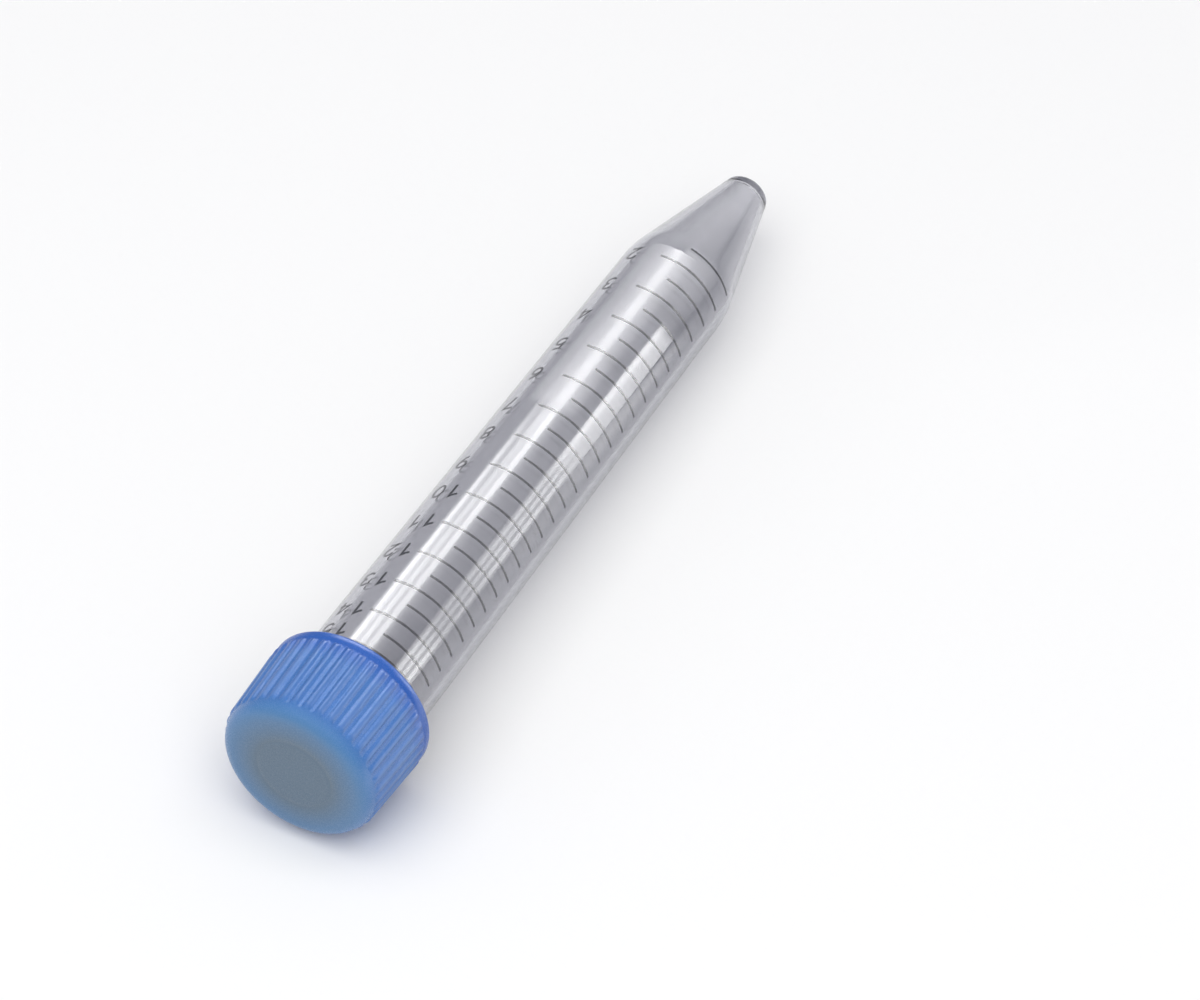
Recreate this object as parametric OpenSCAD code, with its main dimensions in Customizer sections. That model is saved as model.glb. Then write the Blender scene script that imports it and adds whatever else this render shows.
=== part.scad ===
// 15 ml conical tube with its screw cap, lying on the ribs of the cap and on
// the shoulder of the tube. Units are millimetres.
// The length runs along Y with the point towards +Y. The origin is on the
// surface that the tube lies on, under the middle of its length.
//
// Each piece is drawn upright first, with the point at z = 0 and the cap on
// top, and lay() then puts it down.

/* [Tube] */
// Outside diameter of the straight band just under the cap
top_od = 17; // [16.8:0.1:17.4]
// Outside diameter at the shoulder, where the conical end begins
shoulder_od = 15.75; // [15.4:0.05:16.2]
// Height of the whole tube, from its point to its rim
tube_h = 119.6; // [118:0.1:121]
// Thickness of the wall
wall = 1.08; // [1:0.02:1.14]
// Length of the straight band below the lip of the cap
band_h = 10; // [8:0.5:12]

/* [Conical end] */
// Height of the conical end, from the point to the shoulder
cone_h = 20.8; // [19.5:0.1:22.5]
// Outside diameter of the blunt point
tip_od = 6.5; // [5.9:0.1:7.1]
// Rounding of the edge of the point
tip_round = 1; // [0.7:0.1:1.2]
// Thickness of the floor inside the point
tip_floor = 1; // [0.9:0.1:1.6]
// Thickness of the wall of the conical end
cone_wall = 0.88; // [0.84:0.02:1.04]
// Radius of the soft bend at the shoulder
shoulder_bend = 15; // [10:1:18]

/* [Neck] */
// Outside diameter of the neck at the foot of its thread
neck_od = 16.6; // [16.4:0.1:16.6]
// Rounding of the rim
rim_round = 0.25; // [0.15:0.05:0.3]

/* [Cap] */
// Height of the cap
cap_h = 14.2; // [13.8:0.1:14.8]
// Diameter over the ribs at their lower ends
cap_od = 22.5; // [22.2:0.1:23]
// How much smaller the cap is in diameter at the face end
cap_taper = 0.9; // [0.5:0.1:1.1]
// Rounding between the side and the face
cap_round = 2; // [1.6:0.1:2.6]
// Diameter of the bore that the thread stands in
cap_bore = 18.4; // [18.2:0.1:18.6]
// Thickness of the top plate
cap_top = 1.75; // [1.5:0.05:2]

/* [Ribs] */
// Number of ribs round the cap
ribs = 40; // [36:4:44]
// Radius of the rounded back of a rib
rib_r = 0.62; // [0.5:0.02:0.66]
// How far a rib stands out of the side
rib_out = 0.3; // [0.2:0.05:0.35]
// Distance from the lip of the cap to the lower ends of the ribs
rib_low = 1.5; // [1:0.1:2]
// Distance from the upper ends of the ribs to the face
rib_high = 1.75; // [1.5:0.05:2.2]

/* [Seal] */
// Gap between the seal ring and the mouth of the tube, on each side
seal_gap = 0.12; // [0.1:0.02:0.2]
// Depth of the seal ring inside the mouth
seal_h = 2.6; // [2:0.1:3.4]
// Thickness of the seal ring
seal_t = 1; // [0.8:0.05:1.2]

/* [Hidden] */

fn_round = 128;
face_z = tube_h + 0.15 + cap_top;       // height of the face of the cap
lip_z = face_z - cap_h;                 // height of its lip
neck_z = lip_z;                         // where the neck begins
band_z = lip_z - band_h;                // where the straight band begins
neck_r = neck_od / 2;
top_r = top_od / 2;
sh_r = shoulder_od / 2;
mouth_r = top_r - wall;                 // inside radius of the mouth

// points along an arc, from angle a0 to angle a1 about [cx, cy]
function arc(cx, cy, r, a0, a1, n) =
    [for (i = [0:n]) let (a = a0 + (a1 - a0) * i / n) [cx + r * cos(a), cy + r * sin(a)]];

// where two lines cross, each given by a point and a direction angle
function meet(p, a, q, b) =
    let (d = cos(a) * sin(b) - sin(a) * cos(b),
         t = ((q[0] - p[0]) * sin(b) - (q[1] - p[1]) * cos(b)) / d)
    [p[0] + t * cos(a), p[1] + t * sin(a)];

// bend between the cone and the body: an arc of radius r tangent to both
// lines through the corner c. Lines rise at angles a (cone) and b (body).
function bend(c, a, b, r, n) =
    let (t = r * tan((b - a) / 2),
         s = [c[0] - t * cos(a), c[1] - t * sin(a)],
         m = [s[0] - r * sin(a), s[1] + r * cos(a)])
    arc(m[0], m[1], r, a - 90, b - 90, n);

// slopes of the outside, as angles from the radial direction
cone_a = atan2(cone_h - tip_round, sh_r - tip_od / 2);
body_a = atan2(band_z - cone_h, top_r - sh_r);

outer_bend = bend([sh_r, cone_h], cone_a, body_a, shoulder_bend, 8);
tip_arc = arc(tip_od / 2 - tip_round, tip_round, tip_round, -90, cone_a - 90, 6);

outside = concat(
    [[0, 0]],
    tip_arc,
    outer_bend,
    [[top_r, band_z], [top_r, neck_z], [neck_r, neck_z + 0.3], [neck_r, tube_h - rim_round]],
    arc(neck_r - rim_round, tube_h - rim_round, rim_round, 15, 90, 3));

// inside: the same lines moved in by the wall
in_cone = [tip_od / 2 - cone_wall * sin(cone_a), tip_round + cone_wall * cos(cone_a)];
in_corner = meet([sh_r - wall, cone_h], body_a, in_cone, cone_a);
inner_bend = bend(in_corner, cone_a, body_a, shoulder_bend - wall, 8);
pit_r = 1.15;                           // rounding of the bottom inside the point
pit = meet(in_cone, cone_a, [0, tip_floor], 0);
pit_t = pit_r * tan((cone_a) / 2);
inside = concat(
    arc(mouth_r + rim_round, tube_h - rim_round, rim_round, 90, 165, 3),
    [[mouth_r, tube_h - rim_round - 0.3], [mouth_r, band_z]],
    [for (i = [len(inner_bend) - 1:-1:0]) inner_bend[i]],
    [for (p = arc(pit[0] - pit_t, tip_floor + pit_r, pit_r, cone_a - 90, -90, 6)) p],
    [[0, tip_floor]]);

module tube_upright() {
    rotate_extrude($fn = fn_round) polygon(concat(outside, inside));
}

// the cap
rib_top_r = (cap_od - cap_taper) / 2;   // radius over the ribs at the face end
side_low = cap_od / 2 - rib_out;        // radius of the side between the ribs
side_top = rib_top_r - rib_out;
collar_r = side_low + rib_out / 2;      // smooth collar below the ribs
seal_r = mouth_r - seal_gap;
ceiling = face_z - cap_top;

cap_profile = concat(
    [[cap_bore / 2, lip_z], [collar_r - 0.35, lip_z]],
    arc(collar_r - 0.35, lip_z + 0.35, 0.35, -67.5, 0, 3),
    [[collar_r, lip_z + rib_low - 0.4], [side_low, lip_z + rib_low - 0.1],
     [side_top, face_z - cap_round]],
    arc(side_top - cap_round, face_z - cap_round, cap_round, 9, 90, 9),
    [[0, face_z], [0, ceiling],
     [seal_r - seal_t, ceiling], [seal_r - seal_t, ceiling - seal_h + 0.25],
     [seal_r - seal_t + 0.3, ceiling - seal_h], [seal_r - 0.4, ceiling - seal_h],
     [seal_r, ceiling - seal_h + 0.6], [seal_r, ceiling],
     [cap_bore / 2, ceiling]]);

rib_z0 = lip_z + rib_low;
rib_z1 = face_z - rib_high;
rib_c0 = cap_od / 2 - rib_r;            // rib axis at its lower end
rib_c1 = rib_top_r - rib_r;             // and at its upper end
rib_tilt = atan2(rib_c0 - rib_c1, rib_z1 - rib_z0);
rib_l = norm([rib_c0 - rib_c1, rib_z1 - rib_z0]);

// one rib: a round bar with eased ends, sunk into the side
module rib() {
    translate([rib_c0, 0, rib_z0]) rotate([0, -rib_tilt, 0])
        rotate_extrude($fn = 32)
            polygon([[0, 0], [rib_r * 0.6, 0], [rib_r * 0.92, rib_r * 0.3], [rib_r, rib_r * 0.75],
                     [rib_r, rib_l - rib_r * 0.9], [rib_r * 0.86, rib_l - rib_r * 0.35],
                     [rib_r * 0.5, rib_l], [0, rib_l]]);
}

module cap_upright() {
    union() {
        rotate_extrude($fn = fn_round) polygon(cap_profile);
        for (i = [0:ribs - 1]) rotate([0, 0, (i + 0.5) * 360 / ribs]) rib();
    }
}

// Putting it down. The two ribs beside the lowest line of the cap touch the
// surface at their lower ends, and the shoulder touches it at the other end.
foot_z = rib_z0 + rib_r * 0.75;
foot_r = (rib_c0 - rib_r * 0.75 * tan(rib_tilt)) * cos(180 / ribs) + rib_r;
lean = atan(min([for (p = outside) if (p[1] < band_z) (foot_r - p[0]) / (foot_z - p[1])]));
end_low = -((face_z - cap_round) * cos(lean) + (side_top - cap_round) * sin(lean) + cap_round);
end_high = tip_round - tip_round * cos(lean) + (tip_od / 2 - tip_round) * sin(lean);
up_by = foot_r * cos(lean) - foot_z * sin(lean);
along_by = -(end_low + end_high) / 2;

module lay() {
    translate([0, along_by, up_by]) rotate([90 - lean, 0, 0]) children();
}

// Clear moulded tube with a tapered body, a conical end and a neck
module tube() { color([0.82, 0.84, 0.88, 0.45]) lay() tube_upright(); }

// Blue ribbed screw cap with its seal ring
module cap() { color([0.27, 0.47, 0.80]) lay() cap_upright(); }

tube();
cap();
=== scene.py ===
"""15 ml conical tube, lying on a pale floor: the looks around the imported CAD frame.

Every piece is drawn upright in millimetres, with the point at z = 0 and the cap
on top, exactly as the CAD source does it, and lay() then puts it down and turns
it into metres.
"""

import math

import bpy
from mathutils import Matrix, Vector


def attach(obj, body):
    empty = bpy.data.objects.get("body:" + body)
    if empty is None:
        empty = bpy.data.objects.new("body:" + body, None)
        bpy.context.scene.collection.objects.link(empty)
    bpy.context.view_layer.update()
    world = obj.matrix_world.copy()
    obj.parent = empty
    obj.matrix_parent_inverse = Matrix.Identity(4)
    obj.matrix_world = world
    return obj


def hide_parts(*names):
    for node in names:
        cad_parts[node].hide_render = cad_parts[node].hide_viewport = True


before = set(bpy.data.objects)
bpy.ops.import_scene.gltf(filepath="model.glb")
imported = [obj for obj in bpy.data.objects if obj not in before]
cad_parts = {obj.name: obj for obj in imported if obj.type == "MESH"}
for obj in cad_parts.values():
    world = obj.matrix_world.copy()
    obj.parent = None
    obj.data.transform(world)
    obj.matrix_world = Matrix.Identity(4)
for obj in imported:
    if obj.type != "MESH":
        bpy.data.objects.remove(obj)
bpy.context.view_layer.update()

# ---------------------------------------------------------------------------
# The CAD source's own dimensions, in millimetres

TOP_OD, SHOULDER_OD, TUBE_H, WALL, BAND_H = 17.0, 15.75, 119.6, 1.08, 10.0
CONE_H, TIP_OD, TIP_ROUND, TIP_FLOOR, CONE_WALL, SHOULDER_BEND = 20.8, 6.5, 1.0, 1.0, 0.88, 15.0
NECK_OD, RIM_ROUND = 16.6, 0.25
CAP_H, CAP_OD, CAP_TAPER, CAP_ROUND, CAP_BORE, CAP_TOP = 14.2, 22.5, 0.9, 2.0, 18.4, 1.75
RIBS, RIB_R, RIB_OUT, RIB_LOW, RIB_HIGH = 40, 0.62, 0.3, 1.5, 1.75
SEAL_GAP, SEAL_H, SEAL_T = 0.12, 2.6, 1.0

FACE_Z = TUBE_H + 0.15 + CAP_TOP
LIP_Z = FACE_Z - CAP_H
NECK_Z = LIP_Z
BAND_Z = LIP_Z - BAND_H
NECK_R, TOP_R, SH_R = NECK_OD / 2, TOP_OD / 2, SHOULDER_OD / 2
MOUTH_R = TOP_R - WALL
SIDE_LOW = CAP_OD / 2 - RIB_OUT
RIB_TOP_R = (CAP_OD - CAP_TAPER) / 2
SIDE_TOP = RIB_TOP_R - RIB_OUT
COLLAR_R = SIDE_LOW + RIB_OUT / 2
SEAL_R = MOUTH_R - SEAL_GAP
CEILING = FACE_Z - CAP_TOP
RIB_Z0, RIB_Z1 = LIP_Z + RIB_LOW, FACE_Z - RIB_HIGH


def arc(cx, cy, r, a0, a1, n):
    return [
        (
            cx + r * math.cos(math.radians(a0 + (a1 - a0) * i / n)),
            cy + r * math.sin(math.radians(a0 + (a1 - a0) * i / n)),
        )
        for i in range(n + 1)
    ]


def meet(p, a, q, b):
    a, b = math.radians(a), math.radians(b)
    d = math.cos(a) * math.sin(b) - math.sin(a) * math.cos(b)
    t = ((q[0] - p[0]) * math.sin(b) - (q[1] - p[1]) * math.cos(b)) / d
    return (p[0] + t * math.cos(a), p[1] + t * math.sin(a))


def bend(c, a, b, r, n):
    t = r * math.tan(math.radians(b - a) / 2)
    s = (c[0] - t * math.cos(math.radians(a)), c[1] - t * math.sin(math.radians(a)))
    m = (s[0] - r * math.sin(math.radians(a)), s[1] + r * math.cos(math.radians(a)))
    return arc(m[0], m[1], r, a - 90, b - 90, n)


CONE_A = math.degrees(math.atan2(CONE_H - TIP_ROUND, SH_R - TIP_OD / 2))
BODY_A = math.degrees(math.atan2(BAND_Z - CONE_H, TOP_R - SH_R))
OUT_BEND = bend((SH_R, CONE_H), CONE_A, BODY_A, SHOULDER_BEND, 14)
TIP_ARC = arc(TIP_OD / 2 - TIP_ROUND, TIP_ROUND, TIP_ROUND, -90, CONE_A - 90, 12)

IN_CONE = (
    TIP_OD / 2 - CONE_WALL * math.sin(math.radians(CONE_A)),
    TIP_ROUND + CONE_WALL * math.cos(math.radians(CONE_A)),
)
IN_CORNER = meet((SH_R - WALL, CONE_H), BODY_A, IN_CONE, CONE_A)
IN_BEND = bend(IN_CORNER, CONE_A, BODY_A, SHOULDER_BEND - WALL, 14)
PIT_R = 1.15
PIT = meet(IN_CONE, CONE_A, (0, TIP_FLOOR), 0)
PIT_T = PIT_R * math.tan(math.radians(CONE_A) / 2)

# outside of the tube from the point to the neck, and its inside from the pit to the mouth
OUTSIDE = [(0.0, 0.0)] + TIP_ARC + OUT_BEND + [(TOP_R, BAND_Z), (TOP_R, NECK_Z)]
INSIDE = (
    [(0.0, TIP_FLOOR)]
    + arc(PIT[0] - PIT_T, TIP_FLOOR + PIT_R, PIT_R, -90, CONE_A - 90, 12)
    + IN_BEND
    + [(MOUTH_R, BAND_Z)]
)

# how the CAD lays it down
RIB_C0, RIB_C1 = CAP_OD / 2 - RIB_R, RIB_TOP_R - RIB_R
RIB_TILT = math.atan2(RIB_C0 - RIB_C1, RIB_Z1 - RIB_Z0)
FOOT_Z = RIB_Z0 + RIB_R * 0.75
FOOT_R = (RIB_C0 - RIB_R * 0.75 * math.tan(RIB_TILT)) * math.cos(math.pi / RIBS) + RIB_R
CAD_BEND = bend((SH_R, CONE_H), CONE_A, BODY_A, SHOULDER_BEND, 8)
LEAN = math.atan(
    min((FOOT_R - p[0]) / (FOOT_Z - p[1]) for p in [(0.0, 0.0)] + arc(TIP_OD / 2 - TIP_ROUND, TIP_ROUND, TIP_ROUND, -90, CONE_A - 90, 6) + CAD_BEND)
)
END_LOW = -((FACE_Z - CAP_ROUND) * math.cos(LEAN) + (SIDE_TOP - CAP_ROUND) * math.sin(LEAN) + CAP_ROUND)
END_HIGH = TIP_ROUND - TIP_ROUND * math.cos(LEAN) + (TIP_OD / 2 - TIP_ROUND) * math.sin(LEAN)
UP_BY = FOOT_R * math.cos(LEAN) - FOOT_Z * math.sin(LEAN)
ALONG_BY = -(END_LOW + END_HIGH) / 2
SIN_L, COS_L = math.sin(LEAN), math.cos(LEAN)


def lay(x, y, z):
    """A point of the upright drawing, in mm, to its place on the floor, in metres."""
    return (
        x / 1000,
        (y * SIN_L - z * COS_L + ALONG_BY) / 1000,
        (y * COS_L + z * SIN_L + UP_BY) / 1000,
    )


def lay_way(x, y, z):
    """The same for a direction."""
    return Vector((x, y * SIN_L - z * COS_L, y * COS_L + z * SIN_L))


def along(points, z):
    """Radius of a profile, rising in z, at height z."""
    for (r0, z0), (r1, z1) in zip(points, points[1:]):
        if z0 <= z <= z1 and z1 > z0:
            return r0 + (r1 - r0) * (z - z0) / (z1 - z0)
    return points[-1][0] if z > points[-1][1] else points[0][0]


def ease(t):
    t = min(1.0, max(0.0, t))
    return t * t * (3 - 2 * t)


# ---------------------------------------------------------------------------
# Mesh helpers


def make_object(name, verts, faces, smooth=True):
    mesh = bpy.data.meshes.new(name)
    mesh.from_pydata([lay(*v) for v in verts], [], faces)
    mesh.validate()
    if smooth:
        mesh.polygons.foreach_set("use_smooth", [True] * len(mesh.polygons))
    mesh.update()
    ob = bpy.data.objects.new(name, mesh)
    bpy.context.scene.collection.objects.link(ob)
    return ob


def turned(name, rings, seg):
    """A closed turned piece. rings run from one point on the axis to another; each is (radius or a
    function of the angle in degrees, z). The first and the last are on the axis."""
    verts, faces = [(0.0, 0.0, rings[0][1])], []
    for r, z in rings[1:-1]:
        for k in range(seg):
            deg = 360.0 * k / seg
            rr = r(deg) if callable(r) else r
            a = math.radians(deg)
            verts.append((rr * math.cos(a), rr * math.sin(a), z))
    verts.append((0.0, 0.0, rings[-1][1]))
    last = len(verts) - 1
    n = len(rings) - 2

    def at(i, k):
        return 1 + i * seg + k % seg

    for k in range(seg):
        faces.append((0, at(0, k + 1), at(0, k)))
        faces.append((last, at(n - 1, k), at(n - 1, k + 1)))
    for i in range(n - 1):
        for k in range(seg):
            faces.append((at(i, k), at(i, k + 1), at(i + 1, k + 1), at(i + 1, k)))
    return make_object(name, verts, faces)


def sharpen(ob, degrees):
    """Marks the edges that are sharper than this, so that smooth shading stops there."""
    import bmesh

    bm = bmesh.new()
    bm.from_mesh(ob.data)
    bmesh.ops.recalc_face_normals(bm, faces=bm.faces)
    limit = math.radians(degrees)
    for e in bm.edges:
        if len(e.link_faces) == 2 and e.calc_face_angle(0.0) > limit:
            e.smooth = False
    bm.to_mesh(ob.data)
    bm.free()


def split(points, step):
    """The same profile with no stretch longer than step."""
    out = [points[0]]
    for (r0, z0), (r1, z1) in zip(points, points[1:]):
        n = max(1, math.ceil(math.hypot(r1 - r0, z1 - z0) / step))
        out += [(r0 + (r1 - r0) * i / n, z0 + (z1 - z0) * i / n) for i in range(1, n + 1)]
    return out


def hold(rings, near=0.12, longest=1.0):
    """The same rings with two more close to the ends of each long straight stretch, so that the shading of a
    rounding doesn't spread along the wall beside it."""
    out = [rings[0]]
    for (r0, z0), (r1, z1) in zip(rings, rings[1:]):
        if not callable(r0) and not callable(r1):
            d = math.hypot(r1 - r0, z1 - z0)
            if d > longest:
                for t in (near / d, 1 - near / d):
                    out.append((r0 + (r1 - r0) * t, z0 + (z1 - z0) * t))
        out.append((r1, z1))
    return out


def thread(deg, z, first_z, pitch, turns, half, start_deg=0.0):
    """0 to 1, how far a right-handed thread ridge rises at this place. It runs out over a sixth of a turn at each end."""
    best = 0.0
    t = (deg - start_deg) % 360.0 / 360.0
    while t <= turns:
        dz = abs(z - (first_z + pitch * t))
        if dz < half:
            run = min(1.0, t * 6, (turns - t) * 6)
            flank = min(1.0, (half - dz) / (half * 0.55))
            best = max(best, ease(flank) * ease(run))
        t += 1.0
    return best


# ---------------------------------------------------------------------------
# Tube: one clear moulding, with the thread that the CAD leaves out

SEG = 256
PITCH = 3.6
rings = list(OUTSIDE[:-2])
rings += [(SH_R + (TOP_R - SH_R) * (z - CONE_H) / (BAND_Z - CONE_H), z) for z in [28 + 6 * i for i in range(12)] if OUT_BEND[-1][1] < z < BAND_Z]
rings += [(TOP_R, BAND_Z), (TOP_R, NECK_Z - 0.12), (TOP_R - 0.035, NECK_Z + 0.03), (NECK_R, NECK_Z + 0.3)]
neck_top = TUBE_H - 0.55
steps = 64
for i in range(1, steps + 1):
    z = NECK_Z + 0.3 + (neck_top - NECK_Z - 0.3) * i / steps
    rings.append((lambda deg, z=z: NECK_R + 0.44 * thread(deg, z, 110.2, PITCH, 1.9, 0.85), z))
rings += arc(NECK_R - RIM_ROUND, TUBE_H - RIM_ROUND, RIM_ROUND, 0, 90, 5)
rings += arc(MOUTH_R + RIM_ROUND, TUBE_H - RIM_ROUND, RIM_ROUND, 90, 180, 5)
rings += [(MOUTH_R, BAND_Z + 12), (MOUTH_R, BAND_Z)]
for z in [94 - 6 * i for i in range(12)]:
    if IN_BEND[-1][1] < z:
        rings.append((along(INSIDE, z), z))
rings += list(reversed(INSIDE[1:-1]))
rings.append((0.0, TIP_FLOOR))
tube_shell = turned("tube_shell", hold(rings), SEG)
sharpen(tube_shell, 38)

# ---------------------------------------------------------------------------
# Cap: ribbed moulding with its collar, rounding, bore, seal ring and inside thread

CSEG = 560
PER_RIB = 360.0 / RIBS


def side_r(z):
    """Radius of the side between the ribs."""
    if z > FACE_Z - CAP_ROUND:
        up = (z - (FACE_Z - CAP_ROUND)) / CAP_ROUND
        return SIDE_TOP - CAP_ROUND + CAP_ROUND * math.sqrt(max(0.0, 1 - up * up))
    t = (z - (RIB_Z0 - 0.1)) / (FACE_Z - CAP_ROUND - (RIB_Z0 - 0.1))
    return SIDE_LOW + (SIDE_TOP - SIDE_LOW) * min(1.0, max(0.0, t))


def crest_r(z):
    t = (z - RIB_Z0) / (RIB_Z1 - RIB_Z0)
    return CAP_OD / 2 - 0.02 + (RIB_TOP_R - CAP_OD / 2) * t


def ribbed(z, base):
    """The side with its ribs at height z, as a function of the angle."""
    # each rib starts and ends with a rounded run-out
    low = min(1.0, max(0.0, (z - (RIB_Z0 - 0.05)) / 0.55))
    high = min(1.0, max(0.0, ((RIB_Z1 + 0.05) - z) / 0.75))
    run = math.sqrt(max(0.0, 1 - (1 - low) ** 2)) * math.sqrt(max(0.0, 1 - (1 - high) ** 2))

    def r(deg):
        u = math.radians(abs((deg % PER_RIB) - PER_RIB / 2)) * base  # 0 on the back of a rib
        round_top = crest_r(z) - RIB_R + math.sqrt(max(0.0, RIB_R * RIB_R - u * u))
        rise = (round_top - base) * run
        # the foot of a rib runs into the side with a small fillet
        return base + 0.5 * (rise + math.sqrt(rise * rise + 0.0016)) - 0.5 * (math.sqrt(0.09 + 0.0016) - 0.3)

    return r


profile = []
profile += [(0.0, CEILING)]
profile += split([(0.01, CEILING), (SEAL_R - SEAL_T - 0.25, CEILING)], 1.5)
profile += [(SEAL_R - SEAL_T - 0.07, CEILING - 0.07), (SEAL_R - SEAL_T, CEILING - 0.25), (SEAL_R - SEAL_T, CEILING - SEAL_H + 0.25), (SEAL_R - SEAL_T + 0.08, CEILING - SEAL_H + 0.08),
            (SEAL_R - SEAL_T + 0.3, CEILING - SEAL_H), (SEAL_R - 0.4, CEILING - SEAL_H), (SEAL_R - 0.12, CEILING - SEAL_H + 0.22), (SEAL_R, CEILING - SEAL_H + 0.6), (SEAL_R, CEILING - 0.2), (SEAL_R + 0.06, CEILING - 0.06), (SEAL_R + 0.2, CEILING)]
profile += [(CAP_BORE / 2 - 0.25, CEILING), (CAP_BORE / 2 - 0.07, CEILING - 0.07)]
cap_rings = list(profile)
bore_z0, bore_z1 = CEILING - 0.25, LIP_Z + 0.5
for i in range(49):
    z = bore_z0 + (bore_z1 - bore_z0) * i / 48
    cap_rings.append((lambda deg, z=z: CAP_BORE / 2 - 0.32 * thread(deg, z, 109.9, PITCH, 2.1, 0.8, 150.0), z))
cap_rings += [(CAP_BORE / 2, LIP_Z + 0.3), (CAP_BORE / 2 + 0.05, LIP_Z + 0.12), (CAP_BORE / 2 + 0.2, LIP_Z)]
cap_rings += [(COLLAR_R - 0.4, LIP_Z)]
cap_rings += arc(COLLAR_R - 0.4, LIP_Z + 0.4, 0.4, -75, 0, 5)
cap_rings += [(COLLAR_R, LIP_Z + 0.6), (COLLAR_R, LIP_Z + RIB_LOW - 0.42), (COLLAR_R - 0.04, LIP_Z + RIB_LOW - 0.3), (SIDE_LOW + 0.03, LIP_Z + RIB_LOW - 0.14)]
zs = [RIB_Z0 - 0.05 + 0.09 * i for i in range(8)]
zs += [RIB_Z0 + 0.9 + (RIB_Z1 - 1.1 - RIB_Z0 - 0.9) * i / 10 for i in range(11)]
zs += [RIB_Z1 - 1.0 + 0.088 * i for i in range(13)]
for z in zs:
    cap_rings.append((ribbed(z, side_r(z)), z))
last_up = math.degrees(math.asin((zs[-1] - (FACE_Z - CAP_ROUND)) / CAP_ROUND))
cap_rings += arc(SIDE_TOP - CAP_ROUND, FACE_Z - CAP_ROUND, CAP_ROUND, last_up + 3, 90, 14)
# flat face with one plain shallow ring
RING_R, RING_W, RING_D = 5.2, 0.42, 0.06
cap_rings += [(6.6, FACE_Z), (RING_R + RING_W, FACE_Z), (RING_R + RING_W * 0.55, FACE_Z - RING_D * 0.5), (RING_R + RING_W * 0.2, FACE_Z - RING_D),
              (RING_R - RING_W * 0.2, FACE_Z - RING_D), (RING_R - RING_W * 0.55, FACE_Z - RING_D * 0.5), (RING_R - RING_W, FACE_Z), (3.6, FACE_Z), (2.0, FACE_Z), (0.8, FACE_Z)]
cap_rings += [(0.0, FACE_Z)]
cap_shell = turned("cap_shell", hold(cap_rings), CSEG)
sharpen(cap_shell, 50)

# ---------------------------------------------------------------------------
# Printed scale: closed strips a few hundredths of a millimetre proud of the wall

INK_UP, INK_DOWN = 0.022, 0.03


def inner_volume_heights():
    """Height of each volume mark, in ml, from the inside of the tube."""
    marks, want = {}, [1.0 + 0.5 * i for i in range(29)]
    z, v, dz = TIP_FLOOR, 0.0, 0.01
    while want and z < TUBE_H:
        r = along(INSIDE, z + dz / 2)
        v += math.pi * r * r * dz / 1000
        z += dz
        while want and v >= want[0]:
            marks[want.pop(0)] = z
    return marks


MARKS = inner_volume_heights()
Z_HIGH, Z_LOW = MARKS[15.0], MARKS[1.5]


def between(z, at_high, at_low):
    return at_low + (at_high - at_low) * (z - Z_LOW) / (Z_HIGH - Z_LOW)


ink_verts, ink_faces = [], []


def on_wall(deg, z, up):
    r = along(OUTSIDE, z) + up
    a = math.radians(deg)
    return (r * math.cos(a), r * math.sin(a), z)


def strip(centre, half, closed=False):
    """A closed ribbon along points (angle, z), of the given half width in mm, wrapped on the wall."""
    pts = []
    for i, (deg, z) in enumerate(centre):
        r = along(OUTSIDE, z)
        before = centre[(i - 1) % len(centre)] if closed or i > 0 else None
        after = centre[(i + 1) % len(centre)] if closed or i < len(centre) - 1 else None

        def way(a, b):
            x, y = math.radians(b[0] - a[0]) * r, b[1] - a[1]
            n = math.hypot(x, y) or 1e-9
            return (x / n, y / n)

        d0 = way(before, (deg, z)) if before else way((deg, z), after)
        d1 = way((deg, z), after) if after else d0
        n0, n1 = (-d0[1], d0[0]), (-d1[1], d1[0])
        m = (n0[0] + n1[0], n0[1] + n1[1])
        k = m[0] * n0[0] + m[1] * n0[1]
        m = (m[0] / k, m[1] / k) if k > 0.25 else n0
        pts.append((deg, z, m, r))
    base = len(ink_verts)
    for deg, z, m, r in pts:
        for side, up in ((1, INK_UP), (1, -INK_DOWN), (-1, -INK_DOWN), (-1, INK_UP)):
            ink_verts.append(on_wall(deg + math.degrees(side * half * m[0] / r), z + side * half * m[1], up))
    n = len(pts)
    for i in range(n if closed else n - 1):
        a, b = base + 4 * i, base + 4 * ((i + 1) % n)
        for c in range(4):
            d = (c + 1) % 4
            ink_faces.append((a + c, b + c, b + d, a + d))
    if not closed:
        ink_faces.append((base, base + 1, base + 2, base + 3))
        e = base + 4 * (n - 1)
        ink_faces.append((e + 3, e + 2, e + 1, e))


for v, z in MARKS.items():
    if v < 1.5:
        continue
    whole = abs(v - round(v)) < 1e-6
    right = between(z, 15.9, 12.4)
    left = between(z, 101.2, 93.4) if whole else between(z, 77.4, 73.9)
    n = 56 if whole else 40
    strip([(right + (left - right) * i / n, z) for i in range(n + 1)], 0.165)


def oval(cx, cy, rx, ry, a0, a1, n):
    return [(cx + rx * math.cos(math.radians(a0 + (a1 - a0) * i / n)), cy + ry * math.sin(math.radians(a0 + (a1 - a0) * i / n))) for i in range(n + 1)]


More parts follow.
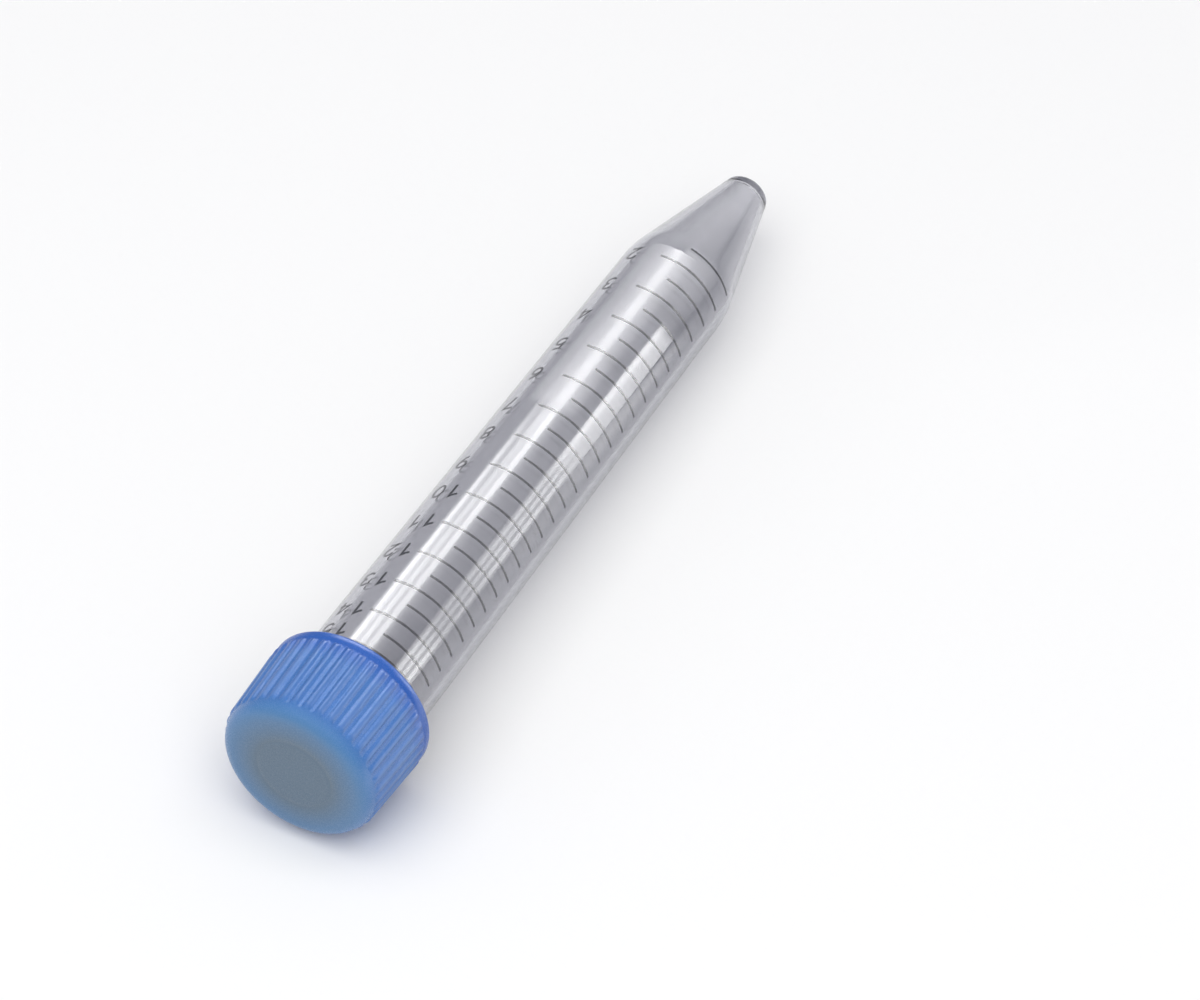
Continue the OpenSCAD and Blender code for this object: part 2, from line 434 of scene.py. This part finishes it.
# plain sans-serif figures as strokes, in a box 0.72 wide and 1 high
FIGURES = {
    "0": [(oval(0.36, 0.5, 0.31, 0.46, 0, 360, 28)[:-1], True)],
    "1": [([(0.02, 0.70), (0.20, 0.80), (0.38, 0.96), (0.38, 0.04)], False)],
    "2": [(oval(0.36, 0.68, 0.29, 0.28, 165, -38, 12) + [(0.07, 0.05), (0.67, 0.05)], False)],
    "3": [(oval(0.34, 0.73, 0.27, 0.23, 150, -90, 12) + oval(0.34, 0.27, 0.31, 0.23, 90, -150, 12)[1:], False)],
    "4": [([(0.53, 0.04), (0.53, 0.95), (0.05, 0.31), (0.70, 0.31)], False)],
    "5": [([(0.62, 0.95), (0.15, 0.95), (0.10, 0.50)] + oval(0.34, 0.32, 0.32, 0.28, 125, -150, 13), False)],
    "6": [([(0.56, 0.93), (0.36, 0.87), (0.18, 0.68), (0.07, 0.45)] + oval(0.36, 0.31, 0.29, 0.27, 165, 505, 20), False)],
    "7": [([(0.05, 0.95), (0.66, 0.95), (0.42, 0.50), (0.28, 0.04)], False)],
    "8": [(oval(0.36, 0.74, 0.25, 0.21, 0, 360, 22)[:-1], True), (oval(0.36, 0.28, 0.30, 0.24, 0, 360, 24)[:-1], True)],
    "9": [([(0.16, 0.07), (0.36, 0.13), (0.54, 0.32), (0.65, 0.55)] + oval(0.36, 0.69, 0.29, 0.27, -15, 325, 20), False)],
}
FIG_H, FIG_W = 2.5, 2.5


def figure(ch, centre_deg, z):
    """One figure, its middle at this angle and height, read with the cap up."""
    r = along(OUTSIDE, z)
    for pts, closed in FIGURES[ch]:
        strip([(centre_deg + math.degrees((x - 0.36) * FIG_W / r), z + (y - 0.5) * FIG_H) for x, y in pts], 0.17, closed)


for v, z in MARKS.items():
    whole = abs(v - round(v)) < 1e-6
    if not whole or v < 2 or v > 14.5:
        continue
    text = str(int(round(v)))
    figure(text[-1], between(z, 130.2, 124.6), z)
    if len(text) == 2:
        figure(text[0], between(z, 113.4, 108.0), z)
# the number of the top line is set a little lower than the line, clear of the lip of the cap
for ch, deg in (("5", 130.2), ("1", 113.4)):
    figure(ch, deg, Z_HIGH - 1.6)
scale_print = make_object("scale_print", ink_verts, ink_faces, smooth=False)
sharpen(scale_print, 30)

# ---------------------------------------------------------------------------
# Materials


def material(name):
    m = bpy.data.materials.new(name)
    m.use_nodes = True
    nt = m.node_tree
    nt.nodes.clear()
    out = nt.nodes.new("ShaderNodeOutputMaterial")
    bsdf = nt.nodes.new("ShaderNodeBsdfPrincipled")
    nt.links.new(bsdf.outputs["BSDF"], out.inputs["Surface"])
    return m, nt, bsdf


def noise(nt, coords, scale, detail=4.0, rough=0.5):
    n = nt.nodes.new("ShaderNodeTexNoise")
    n.inputs["Scale"].default_value = scale
    n.inputs["Detail"].default_value = detail
    n.inputs["Roughness"].default_value = rough
    nt.links.new(coords, n.inputs["Vector"])
    return n.outputs["Fac"]


def spread(nt, value, lo, hi, to_lo, to_hi):
    n = nt.nodes.new("ShaderNodeMapRange")
    n.inputs["From Min"].default_value = lo
    n.inputs["From Max"].default_value = hi
    n.inputs["To Min"].default_value = to_lo
    n.inputs["To Max"].default_value = to_hi
    nt.links.new(value, n.inputs["Value"])
    return n.outputs["Result"]


def do(nt, op, a, b=None):
    n = nt.nodes.new("ShaderNodeMath")
    n.operation = op
    for i, x in enumerate((a, b)):
        if x is None:
            continue
        if isinstance(x, (int, float)):
            n.inputs[i].default_value = x
        else:
            nt.links.new(x, n.inputs[i])
    return n.outputs[0]


def blend_colours(nt, fac, a, b):
    n = nt.nodes.new("ShaderNodeMix")
    n.data_type = "RGBA"
    nt.links.new(fac, n.inputs["Factor"])
    for sock, x in ((n.inputs[6], a), (n.inputs[7], b)):
        if isinstance(x, tuple):
            sock.default_value = x
        else:
            nt.links.new(x, sock)
    return n.outputs[2]


def upright_coords(nt):
    """Object coordinates turned back to the upright drawing, in mm: x, y across, z along the axis."""
    tc = nt.nodes.new("ShaderNodeTexCoord")
    rows = (lay_way(1, 0, 0), lay_way(0, 1, 0), lay_way(0, 0, 1))
    shift = Vector((0.0, ALONG_BY / 1000, UP_BY / 1000))
    outs = []
    for w in rows:
        n = nt.nodes.new("ShaderNodeVectorMath")
        n.operation = "DOT_PRODUCT"
        nt.links.new(tc.outputs["Object"], n.inputs[0])
        n.inputs[1].default_value = tuple(w * 1000)
        outs.append(do(nt, "SUBTRACT", n.outputs["Value"], 1000 * shift.dot(w)))
    comb = nt.nodes.new("ShaderNodeCombineXYZ")
    for i, o in enumerate(outs):
        nt.links.new(o, comb.inputs[i])
    return outs, comb.outputs[0]


# clear plastic
clear, nt, p = material("clear_plastic")
(ux, uy, uz), local = upright_coords(nt)
p.inputs["Base Color"].default_value = (0.83, 0.83, 0.852, 1)
p.inputs["Transmission Weight"].default_value = 1.0
p.inputs["IOR"].default_value = 1.5
p.inputs["Roughness"].default_value = 0.03
stretch = nt.nodes.new("ShaderNodeVectorMath")
stretch.operation = "MULTIPLY"
nt.links.new(local, stretch.inputs[0])
stretch.inputs[1].default_value = (1.0, 1.0, 0.03)  # flow lines run along the tube
flow = noise(nt, stretch.outputs[0], 0.3, 1.0, 0.3)
bump = nt.nodes.new("ShaderNodeBump")
bump.inputs["Strength"].default_value = 0.001
bump.inputs["Distance"].default_value = 0.0001
nt.links.new(flow, bump.inputs["Height"])
nt.links.new(bump.outputs["Normal"], p.inputs["Normal"])
depth = nt.nodes.new("ShaderNodeVolumeAbsorption")  # the wall takes light by how deep it is, so the sides look as grey as the middle
depth.inputs["Color"].default_value = (0.50, 0.505, 0.56, 1)
depth.inputs["Density"].default_value = 300.0
nt.links.new(depth.outputs["Volume"], nt.nodes["Material Output"].inputs["Volume"])
# lamps reach the floor straight through the wall, as they do through a thin clear moulding
through = nt.nodes.new("ShaderNodeBsdfTransparent")
through.inputs["Color"].default_value = (0.965, 0.965, 0.97, 1)
ray = nt.nodes.new("ShaderNodeLightPath")
both = nt.nodes.new("ShaderNodeMixShader")
nt.links.new(ray.outputs["Is Shadow Ray"], both.inputs[0])
nt.links.new(p.outputs["BSDF"], both.inputs[1])
nt.links.new(through.outputs["BSDF"], both.inputs[2])
nt.links.new(both.outputs["Shader"], nt.nodes["Material Output"].inputs["Surface"])
tube_shell.data.materials.append(clear)

# blue cap
blue, nt, p = material("blue_plastic")
(ux, uy, uz), local = upright_coords(nt)
r_here = do(nt, "SQRT", do(nt, "ADD", do(nt, "MULTIPLY", ux, ux), do(nt, "MULTIPLY", uy, uy)))
near_face = spread(nt, uz, FACE_Z - 2.2, FACE_Z - 0.1, 0.0, 1.0)
inward = spread(nt, r_here, 10.2, 5.4, 0.0, 1.0)
# painted sheen: the middle of the face is painted a greyer blue, standing in for the grey surroundings that its gloss
# reflects
face_painted_sheen = do(nt, "MULTIPLY", near_face, inward)
cloud = noise(nt, local, 0.35, 3.0, 0.5)
# the backs of the ribs are painted a paler blue than the grooves, a painted sheen where the light's gloss lies on them
drop = (SIDE_TOP - SIDE_LOW) / (FACE_Z - CAP_ROUND - RIB_Z0)
proud = do(nt, "SUBTRACT", r_here, do(nt, "MULTIPLY", uz, drop))
crest_sheen_and_polish = spread(nt, proud, SIDE_LOW - drop * RIB_Z0 + 0.17, SIDE_LOW - drop * RIB_Z0 + 0.27, 0.0, 1.0)
ribs_only = spread(nt, uz, RIB_Z0 - 0.3, RIB_Z0 + 0.1, 0.0, 1.0)
groove = blend_colours(nt, spread(nt, cloud, 0.3, 0.7, 0.0, 1.0), (0.050, 0.160, 0.440, 1), (0.060, 0.178, 0.480, 1))
on_rib = do(nt, "MULTIPLY", crest_sheen_and_polish, ribs_only)
# painted sheen: the paler blue on the backs of the ribs
base = blend_colours(nt, on_rib, groove, (0.078, 0.190, 0.475, 1))
# the blue turns deeper and darker towards the lip
base = blend_colours(nt, spread(nt, uz, RIB_Z0 + 2.6, RIB_Z0 - 0.4, 0.0, 1.0), base, (0.026, 0.108, 0.430, 1))
# painted sheen: the rounding and the rim of the face are painted a paler, greener blue where their gloss catches the
# light
edge = blend_colours(nt, near_face, base, (0.085, 0.220, 0.440, 1))
# painted sheen: the grey middle of the face is laid over the rest
full = blend_colours(nt, face_painted_sheen, edge, (0.107, 0.164, 0.231, 1))
nt.links.new(full, p.inputs["Base Color"])
p.inputs["IOR"].default_value = 1.5
grain = noise(nt, local, 9.0, 5.0, 0.6)
# and handling has polished them
worn = do(nt, "SUBTRACT", spread(nt, grain, 0.3, 0.7, 0.22, 0.32), do(nt, "MULTIPLY", on_rib, 0.09))
nt.links.new(worn, p.inputs["Roughness"])
bump = nt.nodes.new("ShaderNodeBump")
bump.inputs["Strength"].default_value = 0.12
bump.inputs["Distance"].default_value = 0.00006
nt.links.new(grain, bump.inputs["Height"])
nt.links.new(bump.outputs["Normal"], p.inputs["Normal"])
cap_shell.data.materials.append(blue)

# ink
ink, nt, p = material("print_ink")
(ux, uy, uz), local = upright_coords(nt)
speck = noise(nt, local, 6.0, 4.0, 0.6)
nt.links.new(blend_colours(nt, spread(nt, speck, 0.35, 0.65, 0.0, 1.0), (0.045, 0.046, 0.055, 1), (0.090, 0.090, 0.102, 1)), p.inputs["Base Color"])
p.inputs["Roughness"].default_value = 0.08
scale_print.data.materials.append(ink)

# the CAD nodes keep a finished material of their own under the pieces that stand for them
for name, mat in (("tube", clear), ("cap", blue)):
    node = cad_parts[name]
    node.data.materials.clear()
    node.data.materials.append(mat)

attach(tube_shell, "tube")
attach(scale_print, "tube")
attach(cap_shell, "cap")
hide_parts("tube")
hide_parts("cap")

# ---------------------------------------------------------------------------
# Floor, world, camera and lamps

fm = bpy.data.meshes.new("floor")
h = 6.0
fm.from_pydata([(-h, -h, 0), (h, -h, 0), (h, h, 0), (-h, h, 0)], [], [(0, 1, 2, 3)])
floor = bpy.data.objects.new("floor", fm)
bpy.context.scene.collection.objects.link(floor)
fmat, nt, p = material("floor_paint")
p.inputs["Base Color"].default_value = (0.90, 0.90, 0.90, 1)
p.inputs["Roughness"].default_value = 0.9
p.inputs["Specular IOR Level"].default_value = 0.1
# far off, past everything that lies on it, the floor turns to the plain white behind it
far = nt.nodes.new("ShaderNodeVectorMath")
far.operation = "LENGTH"
nt.links.new(nt.nodes.new("ShaderNodeTexCoord").outputs["Object"], far.inputs[0])
fading = spread(nt, far.outputs["Value"], 0.22, 0.75, 0.0, 1.0)
fading.node.interpolation_type = "SMOOTHSTEP"
seen = nt.nodes.new("ShaderNodeLightPath")
plain = nt.nodes.new("ShaderNodeEmission")
to_white = nt.nodes.new("ShaderNodeMixShader")
nt.links.new(do(nt, "MULTIPLY", fading, seen.outputs["Is Camera Ray"]), to_white.inputs[0])
nt.links.new(p.outputs["BSDF"], to_white.inputs[1])
nt.links.new(plain.outputs[0], to_white.inputs[2])
nt.links.new(to_white.outputs[0], nt.nodes["Material Output"].inputs["Surface"])
fmat.cycles.emission_sampling = "NONE"
fm.materials.append(fmat)

scene = bpy.context.scene
scene.view_settings.view_transform = "Standard"
scene.view_settings.look = "None"

world = bpy.data.worlds.new("studio")
world.use_nodes = True
wn = world.node_tree
path = wn.nodes.new("ShaderNodeLightPath")
grey = wn.nodes["Background"]
grey.inputs["Color"].default_value = (0.97, 0.97, 1.0, 1)
grey.inputs["Strength"].default_value = 0.38
white = wn.nodes.new("ShaderNodeBackground")  # what the camera sees behind the floor's edge
white.inputs["Color"].default_value = (1, 1, 1, 1)
white.inputs["Strength"].default_value = 1.0
# a broad soft glow overhead, which only shows as the sheen down the middle of the wall and over the conical end
sky = wn.nodes.new("ShaderNodeTexCoord").outputs["Generated"]


def facing(way):
    n = wn.nodes.new("ShaderNodeVectorMath")
    n.operation = "DOT_PRODUCT"
    wn.links.new(sky, n.inputs[0])
    n.inputs[1].default_value = tuple(way)
    return n.outputs["Value"]


endwise = facing(lay_way(0, 0, 1))
turn = math.radians(64.4)
swing = do(wn, "ARCTAN2", facing(lay_way(-math.sin(turn), math.cos(turn), 0)), facing(lay_way(math.cos(turn), math.sin(turn), 0)))


def fade(value, a, b, lo=0.0, hi=1.0):
    out = spread(wn, value, a, b, lo, hi)
    out.node.interpolation_type = "SMOOTHSTEP"
    return out


def swing_between(a0, a1, b0, b1):
    a0, a1, b0, b1 = (math.radians(x) for x in (a0, a1, b0, b1))
    return do(wn, "MULTIPLY", fade(swing, a0, a1), fade(swing, b0, b1, 1.0, 0.0))


body_glow = do(wn, "ADD", spread(wn, endwise, -0.595, -0.645, 0.3, 1.5), spread(wn, endwise, -0.668, -0.682, 0.0, 2.5))
body_glow = do(wn, "MULTIPLY", body_glow, do(wn, "MULTIPLY", fade(endwise, -0.71, -0.79, 1.0, 0.0), fade(endwise, -0.56, -0.59)))
body_glow = do(wn, "MULTIPLY", body_glow, swing_between(-98, -6, 16, 34))
cone_glow = do(wn, "MULTIPLY", fade(endwise, -0.69, -0.79, 0.0, 1.0), swing_between(-70, -30, 10, 95))
glow = wn.nodes.new("ShaderNodeBackground")
glow.inputs["Color"].default_value = (1.0, 1.0, 1.0, 1)
wn.links.new(do(wn, "MULTIPLY", do(wn, "ADD", body_glow, cone_glow), path.outputs["Is Glossy Ray"]), glow.inputs["Strength"])
lit = wn.nodes.new("ShaderNodeAddShader")
wn.links.new(grey.outputs[0], lit.inputs[0])
wn.links.new(glow.outputs[0], lit.inputs[1])
pick = wn.nodes.new("ShaderNodeMixShader")
wn.links.new(path.outputs["Is Camera Ray"], pick.inputs[0])
wn.links.new(lit.outputs[0], pick.inputs[1])
wn.links.new(white.outputs[0], pick.inputs[2])
wn.links.new(pick.outputs[0], wn.nodes["World Output"].inputs["Surface"])
scene.world = world

cam_data = bpy.data.cameras.new("camera")
cam_data.lens = 170.9
cam_data.sensor_width = 36.0
cam_data.clip_start, cam_data.clip_end = 0.05, 50
camera = bpy.data.objects.new("camera", cam_data)
scene.collection.objects.link(camera)
CAM = Vector((0.2442, -0.4407, 0.5363))
FORWARD = Vector((-0.32257, 0.60666, -0.72657)).normalized()
RIGHT = Vector((0.88295, 0.46947, 0.0)).normalized()
UP = RIGHT.cross(FORWARD).normalized()
camera.matrix_world = Matrix(
    (
        (RIGHT.x, UP.x, -FORWARD.x, CAM.x),
        (RIGHT.y, UP.y, -FORWARD.y, CAM.y),
        (RIGHT.z, UP.z, -FORWARD.z, CAM.z),
        (0, 0, 0, 1),
    )
)
scene.camera = camera

AXIS = lay_way(0, 0, 1)


def mirrored(theta, s, reach):
    """Where the camera's sight line lands after the tube's wall mirrors it: theta is the angle round the tube
    from the side that faces the camera, s the distance in mm from the top line towards the point."""
    z = Z_HIGH - s
    r = along(OUTSIDE, z)
    a = math.radians(64.4 - theta)
    place = Vector(lay(r * math.cos(a), r * math.sin(a), z))
    slope = (along(OUTSIDE, z + 0.2) - along(OUTSIDE, z - 0.2)) / 0.4
    n = lay_way(math.cos(a), math.sin(a), -slope).normalized()
    v = (CAM - place).normalized()
    way = (2 * n.dot(v) * n - v).normalized()
    across = (way - way.dot(AXIS) * AXIS).length
    return place + way * (reach / across)


def bent(x, points):
    """Straight lines between (x, y) points, flat beyond the ends."""
    if x <= points[0][0]:
        return points[0][1]
    for (x0, y0), (x1, y1) in zip(points, points[1:]):
        if x <= x1:
            return y0 + (y1 - y0) * (x - x0) / (x1 - x0)
    return points[-1][1]


def bar(x, middle, half, edge):
    """1 within half of the middle, easing to 0 over the edge."""
    return 1.0 - ease(min(1.0, max(0.0, (abs(x - middle) - half) / edge)))


def light_panel(name, places, glows):
    """A soft panel through these rows of places, as bright at each as glows says. Only glossy rays see it, so
    it shows as a reflection and casts no light or shade on the floor."""
    wide = len(places[0])
    verts = [p for row in places for p in row]
    glows = [g for row in glows for g in row]
    faces = [
        (i * wide + k, i * wide + k + 1, (i + 1) * wide + k + 1, (i + 1) * wide + k)
        for i in range(len(places) - 1)
        for k in range(wide - 1)
    ]
    me = bpy.data.meshes.new(name)
    me.from_pydata([tuple(v) for v in verts], [], faces)
    me.attributes.new("glow", "FLOAT", "POINT").data.foreach_set("value", glows)
    m = bpy.data.materials.new(name)
    m.use_nodes = True
    m.node_tree.nodes.clear()
    out = m.node_tree.nodes.new("ShaderNodeOutputMaterial")
    shine = m.node_tree.nodes.new("ShaderNodeEmission")
    value = m.node_tree.nodes.new("ShaderNodeAttribute")
    value.attribute_name = "glow"
    m.node_tree.links.new(value.outputs["Fac"], shine.inputs["Strength"])
    clear_film = m.node_tree.nodes.new("ShaderNodeBsdfTransparent")  # what lies behind shows through
    total = m.node_tree.nodes.new("ShaderNodeAddShader")
    m.node_tree.links.new(shine.outputs[0], total.inputs[0])
    m.node_tree.links.new(clear_film.outputs[0], total.inputs[1])
    m.node_tree.links.new(total.outputs[0], out.inputs["Surface"])
    m.cycles.emission_sampling = "NONE"  # found by the rays that mirror it, so the other lights keep their samples
    me.materials.append(m)
    ob = bpy.data.objects.new(name, me)
    scene.collection.objects.link(ob)
    ob.visible_camera = False
    ob.visible_diffuse = False
    ob.visible_transmission = False
    ob.visible_volume_scatter = False
    ob.visible_shadow = False
    return ob


# Two windows with blinds: near the cap each shows its bars, and further down only a soft haze that falls off
# to the outer side. The floor hides the right one below its sill.
HAZE_LEFT = ((-48, 0), (-44, 1.2), (-36, 3.0), (-32, 5.0), (-28, 6.4), (-24, 8.6), (-19, 13.5), (-14.2, 14.0), (-12, 8.4), (-10, 5.2), (-6, 3.6), (-2, 2.4), (3, 0))
HAZE_RIGHT = ((9.5, 0), (11.5, 1.0), (13.0, 9.5), (15, 13.2), (17, 12.6), (19, 9.4), (22, 8.2), (28, 7.0), (33, 5.5))
BAND_RIGHT = ((10.5, 0), (12.5, 2.2), (33, 2.2))


def left_light(t, s):
    if s > 48.7:
        outward = min(1.0, max(0.0, (-20 - t) / 10))
        return bent(t, HAZE_LEFT) * (1.0 - (s - 49) / 34 * (0.16 + 0.26 * outward))
    outer = bent(s, ((3, 9.4), (14, 8.8), (26, 7.0), (38, 4.6), (48, 4.4)))
    inner = bent(s, ((3, 7.6), (26, 7.8), (38, 9.0), (48, 11.5)))
    base = bent(t, ((-28, outer), (-20, inner)))
    base *= bent(t, ((-36.6, 0.0), (-32.6, 1.0))) * bent(t, ((-13.8, 1.0), (-11.8, 0.5), (-9.5, 0.18), (-4.0, 0.0)))
    base += 4.2 * bar(t, -31.6, 0.8, 2.2) * bent(s, ((38, 1.0), (46, 0.1)))
    base += bar(t, -23.3, 1.2, 1.6) * bent(s, ((3, 4.4), (14, 3.2), (48, 1.4)))
    base -= bar(t, -26.7, 0.2, 1.2) * bent(s, ((3, 1.2), (40, 1.2), (48, 0.0)))
    return base + bar(t, -15.7, 1.3, 2.1) * bent(s, ((3, 4.4), (14, 4.4), (26, 5.8), (48, 4.4)))


def right_light(t, s):
    bars = bent(t, BAND_RIGHT) + 2.4 * bar(t, 15.3, 0.9, 1.5) + 2.6 * bar(t, 21.0, 0.9, 1.5) + 3.0 * bar(t, 27.4, 1.0, 1.6)
    bars *= bent(s, ((4, 2.3), (8.5, 1.15), (16, 1.15), (24, 1.6), (38, 1.7)))
    mix = bent(s, ((38.5, 0.0), (47, 1.0)))
    return bars * (1 - mix) + bent(t, HAZE_RIGHT) * mix


def grid(t0, t1, s0, s1, t_step=0.5, s_step=1.5):
    nt_, ns = int(round((t1 - t0) / t_step)), int(round((s1 - s0) / s_step))
    return [[(t0 + (t1 - t0) * k / nt_, s0 + (s1 - s0) * i / ns) for k in range(nt_ + 1)] for i in range(ns + 1)]


for name, rows, light in (
    ("window_left", grid(-48, 3, -20, 48.6), left_light),
    ("window_left_far", grid(-48, 3, 48.8, 83), left_light),
    ("window_right", grid(9.5, 33, -20, 70.3), right_light),
):
    light_panel(name, [[mirrored(t, s, 0.55) for t, s in row] for row in rows], [[light(t, s) for t, s in row] for row in rows])


def card_light(x, y):
    """A pale card on the floor beside the tube, slanted so that it shows along its right side."""
    s = (y - 0.80 * x) * 1000 + 46
    side = ease((x - 0.018) / 0.03) * (1 - ease((x - 0.30) / 0.15))
    return side * bent(s, ((0, 1.0), (14, 0.8), (26, 1.5), (38, 1.8), (48, 2.8), (66, 2.8), (75, 0.8), (80, 0.0)))


rows = [[(0.018 + 0.432 * (k / 48) ** 1.6, -0.08 + 0.56 * i / 140) for k in range(49)] for i in range(141)]
light_panel("card_right", [[Vector((x, y, 0.0004)) for x, y in row] for row in rows], [[card_light(x, y) for x, y in row] for row in rows])

# broad soft fill from above and a little in front
fill = bpy.data.lights.new("fill", "AREA")
fill.shape = "RECTANGLE"
fill.size, fill.size_y, fill.energy = 1.6, 1.6, 16.5
fill_ob = bpy.data.objects.new("fill", fill)
fill_ob.location = (0.1, -0.35, 1.1)
fill_ob.rotation_euler = (Vector((0.1, -0.35, 1.1))).to_track_quat("Z", "Y").to_euler()
fill_ob.visible_camera = False
fill_ob.visible_glossy = False
fill_ob.visible_transmission = False
scene.collection.objects.link(fill_ob)
